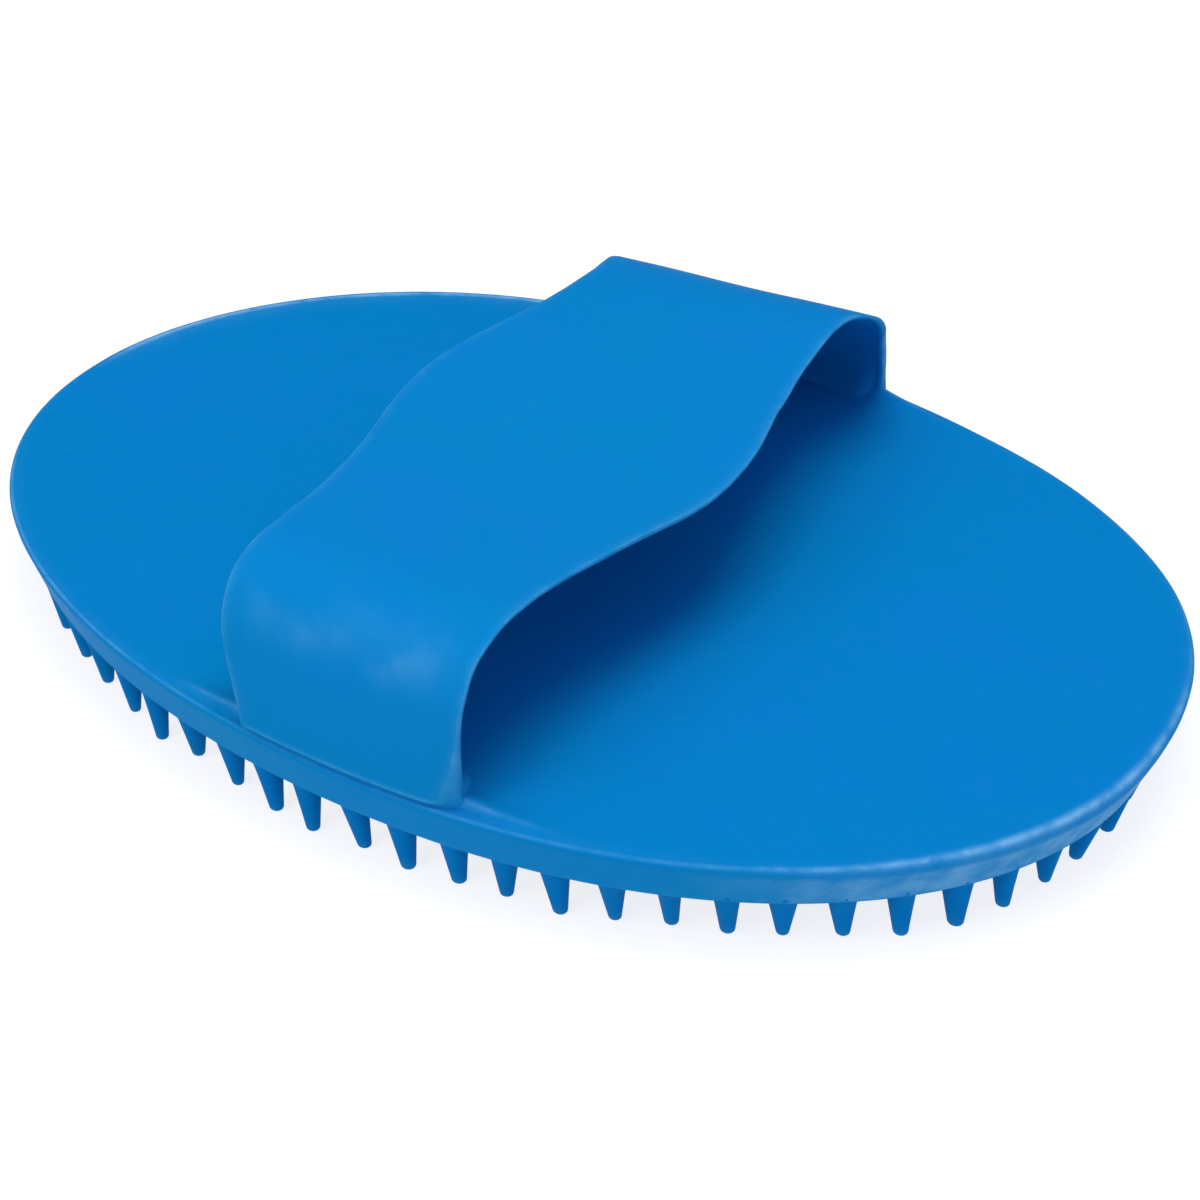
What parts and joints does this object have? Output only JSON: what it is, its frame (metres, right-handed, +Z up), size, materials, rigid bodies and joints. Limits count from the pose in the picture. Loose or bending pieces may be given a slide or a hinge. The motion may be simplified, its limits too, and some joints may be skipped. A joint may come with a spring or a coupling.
{
  "type": "rubber curry brush",
  "caption": "Oval rubber grooming brush with concentric rings of flexible pegs underneath and a wide rubber hand strap across the back.",
  "frame": {"origin": "in the plane of the peg tips, under the centre of the oval pad", "axes": "+X along the pad's long axis, +Y along its short axis (the way the strap runs), +Z up out of the back of the pad"},
  "size_m": [0.1646, 0.1198, 0.0358],
  "materials": {
    "pad_rubber": "satin moulded rubber",
    "strap_rubber": "satin moulded rubber",
    "peg_rubber": "satin moulded rubber"
  },
  "bodies": {
    "pad": {"pad_deck": "pad_rubber", "pad_rim": "pad_rubber", "strap_foot_near": "strap_rubber", "strap_foot_far": "strap_rubber", "strap_leg_near": "strap_rubber", "strap_leg_far": "strap_rubber", "peg_ring_outer": "peg_rubber", "peg_ring_second": "peg_rubber", "peg_ring_third": "peg_rubber", "peg_ring_fourth": "peg_rubber", "peg_ring_fifth": "peg_rubber", "peg_ring_sixth": "peg_rubber", "peg_ring_seventh": "peg_rubber", "peg_row_centre": "peg_rubber"},
    "strap": {"strap_crown": "strap_rubber"}
  },
  "joints": [
    {"name": "strap_flex", "type": "slide", "parent": "pad", "child": "strap", "axis": [0, 0, 1], "range_m": [-0.006, 0.004], "stiffness_N_per_m": 900, "deforming": ["strap_leg_near", "strap_leg_far"]}
  ]
}
